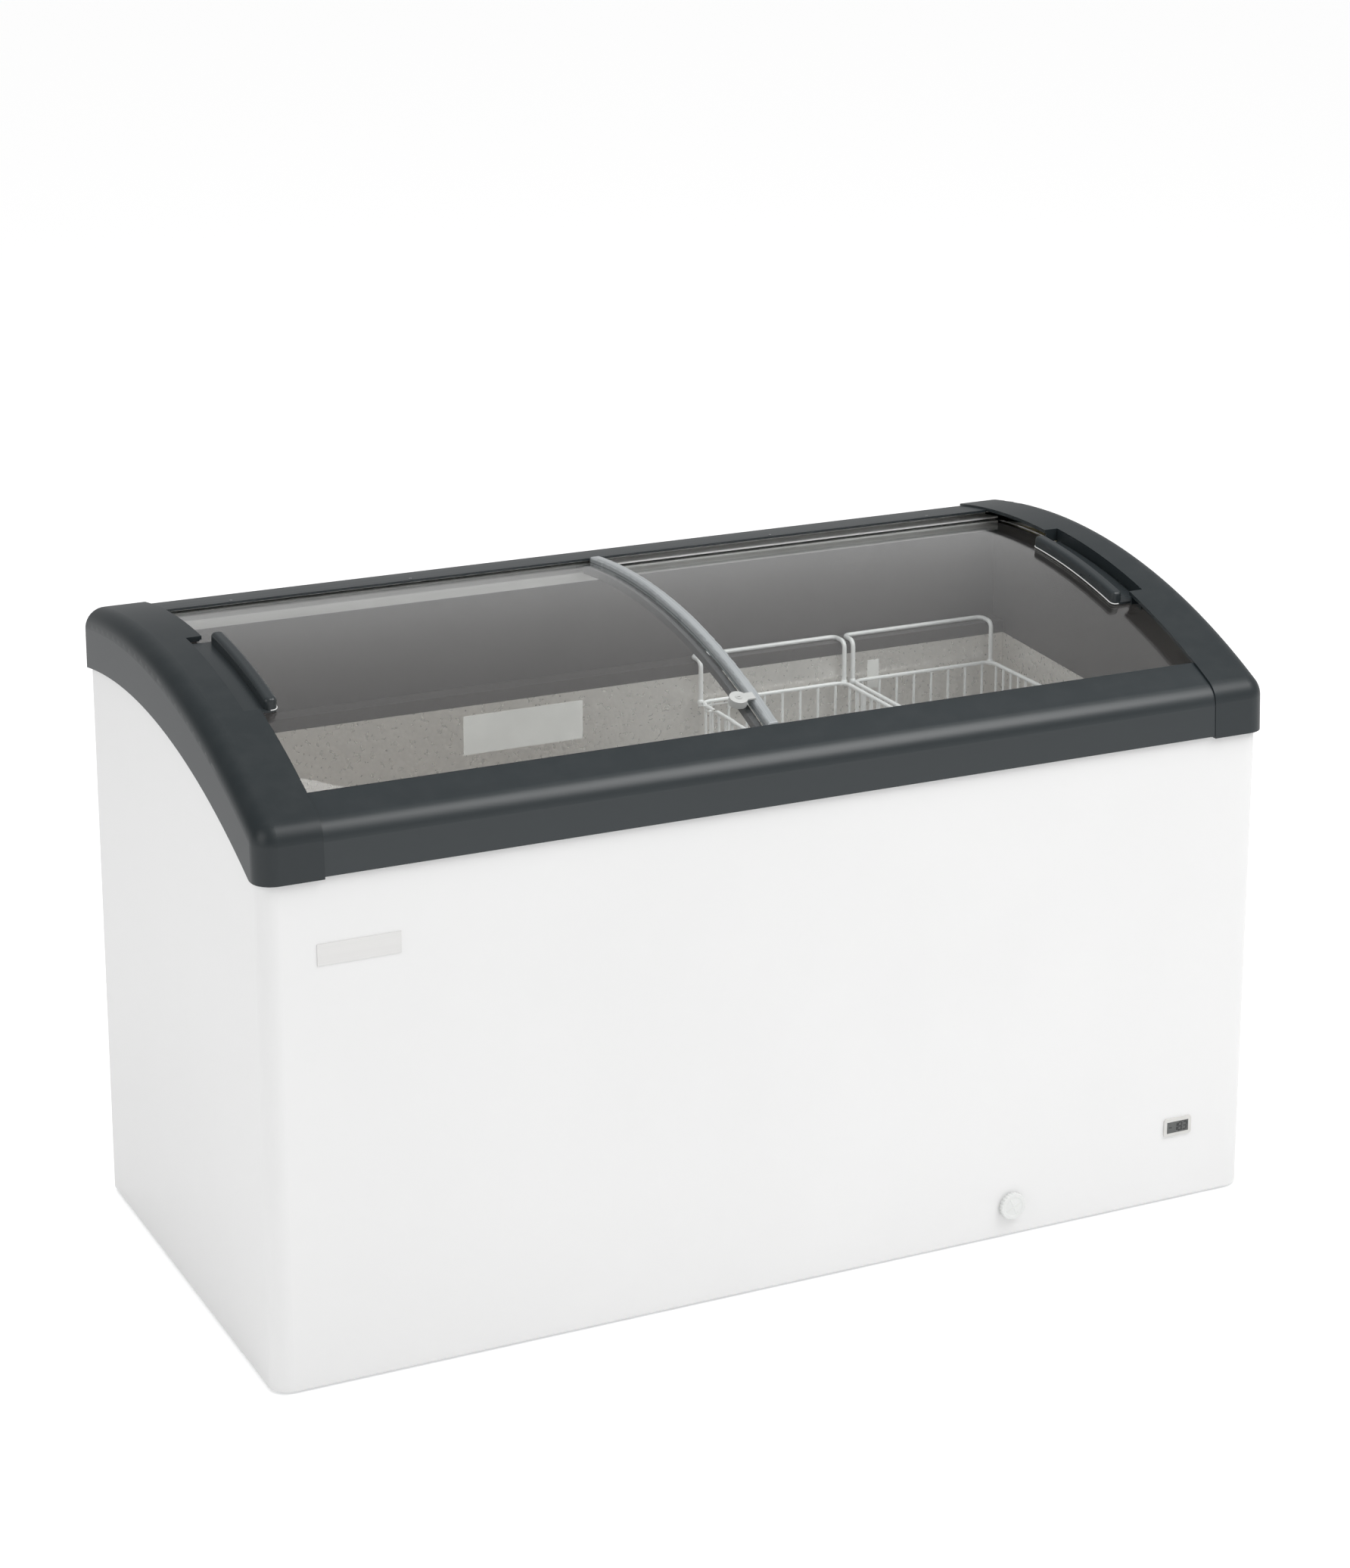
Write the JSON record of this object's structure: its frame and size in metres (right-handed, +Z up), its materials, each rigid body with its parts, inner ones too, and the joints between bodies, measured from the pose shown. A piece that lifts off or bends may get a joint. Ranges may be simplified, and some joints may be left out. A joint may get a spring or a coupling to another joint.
{
  "type": "glass lid chest freezer",
  "caption": "Chest freezer with curved sliding glass lids in a dark rim, white steel cabinet, hanging wire baskets, front drain and small display.",
  "frame": {"origin": "on the floor under the middle of the freezer's footprint, rim included", "axes": "+Z up, +X to the right along the long front, +Y from the front to the back"},
  "size_m": [1.5, 0.718, 0.9005],
  "materials": {
    "white_paint": "gloss",
    "zinc_steel": "satin",
    "foam": "matte",
    "liner_aluminium": "satin",
    "collar_plastic": "satin",
    "track_aluminium": "satin",
    "rim_plastic": "satin",
    "lid_glass": "gloss",
    "runner_plastic": "satin",
    "bar_plastic": "satin",
    "seal_rubber": "matte",
    "handle_plastic": "satin",
    "lock_plastic": "satin",
    "lock_steel": "polished",
    "basket_wire": "gloss",
    "drain_plastic": "satin",
    "plug_rubber": "matte",
    "display_plastic": "satin",
    "display_glass": "gloss",
    "lead_rubber": "matte",
    "probe_steel": "satin",
    "cover_paint": "satin",
    "screw_steel": "satin",
    "black_plastic": "matte",
    "compressor_paint": "satin",
    "grommet_rubber": "matte",
    "copper": "satin",
    "coil_steel": "satin",
    "foot_plastic": "matte",
    "badge_metal": "satin",
    "label_film": "gloss"
  },
  "bodies": {
    "cabinet": {"outer_wrap": "white_paint", "back_panel": "white_paint", "base_pan": "zinc_steel", "wall_foam": "foam", "liner_walls": "liner_aluminium", "liner_floor": "liner_aluminium", "front_collar": "collar_plastic", "back_collar": "collar_plastic", "left_collar": "collar_plastic", "right_collar": "collar_plastic", "front_track": "track_aluminium", "rear_track": "track_aluminium", "front_rail": "rim_plastic", "back_rail": "rim_plastic", "left_end_cap": "rim_plastic", "right_end_cap": "rim_plastic", "rail_screws": "screw_steel", "drain_tube": "drain_plastic", "drain_seat": "drain_plastic", "lcd_housing": "display_plastic", "lcd_screen": "display_glass", "probe_lead": "lead_rubber", "temperature_probe": "probe_steel", "machine_partition": "zinc_steel", "machine_cover": "cover_paint", "cover_screws": "screw_steel", "thermostat_body": "black_plastic", "cord_gland": "black_plastic", "terminal_box": "black_plastic", "compressor": "compressor_paint", "compressor_grommets": "grommet_rubber", "compressor_bolts": "screw_steel", "relay_cover": "black_plastic", "filter_drier": "copper", "suction_pipe": "copper", "discharge_pipe": "copper", "evaporator_coil": "copper", "condenser_coil": "coil_steel", "foot_glides": "foot_plastic", "foot_screws": "screw_steel", "badge_plate": "badge_metal", "liner_labels": "label_film"},
    "left_lid": {"left_lid_glass": "lid_glass", "left_lid_runners": "runner_plastic", "left_lid_bar": "bar_plastic", "centre_seal": "seal_rubber", "left_lid_handle": "handle_plastic", "lock_housing": "lock_plastic"},
    "lock": {"lock_barrel": "lock_steel"},
    "right_lid": {"right_lid_glass": "lid_glass", "right_lid_runners": "runner_plastic", "right_lid_edge": "runner_plastic", "right_lid_handle": "handle_plastic"},
    "left_basket_body": {"left_basket": "basket_wire", "left_basket_hangers": "basket_wire"},
    "right_basket_body": {"right_basket": "basket_wire", "right_basket_hangers": "basket_wire"},
    "drain_cap_body": {"drain_cap": "drain_plastic"},
    "floor_plug_body": {"floor_plug": "plug_rubber"},
    "knob": {"thermostat_knob": "black_plastic"}
  },
  "joints": [
    {"name": "left_lid_slide", "type": "slide", "parent": "cabinet", "child": "left_lid", "axis": [1, 0, 0], "range_m": [0, 0.61]},
    {"name": "lock_push", "type": "slide", "parent": "left_lid", "child": "lock", "axis": [0, 0.3613, -0.9325], "range_m": [0, 0.0032], "stiffness_N_per_m": 200, "springref_m": -0.004},
    {"name": "right_lid_slide", "type": "slide", "parent": "cabinet", "child": "right_lid", "axis": [1, 0, 0], "range_m": [-0.61, 0]},
    {"name": "left_basket_slide", "type": "slide", "parent": "cabinet", "child": "left_basket_body", "axis": [1, 0, 0], "range_m": [-0.8, 0]},
    {"name": "right_basket_lift", "type": "slide", "parent": "cabinet", "child": "right_basket_body", "axis": [0, 0, 1], "range_m": [0, 0.05]},
    {"name": "drain_cap_turn", "type": "hinge", "parent": "cabinet", "child": "drain_cap_body", "pos_m": [0.352, -0.35, 0.048], "axis": [0, -1, 0], "range_deg": [0, 360]},
    {"name": "floor_plug_lift", "type": "slide", "parent": "cabinet", "child": "floor_plug_body", "axis": [0, 0, 1], "range_m": [0, 0.03]},
    {"name": "thermostat_knob_turn", "type": "hinge", "parent": "cabinet", "child": "knob", "pos_m": [0.69, 0.35, 0.215], "axis": [0, 1, 0], "range_deg": [0, 300]}
  ]
}
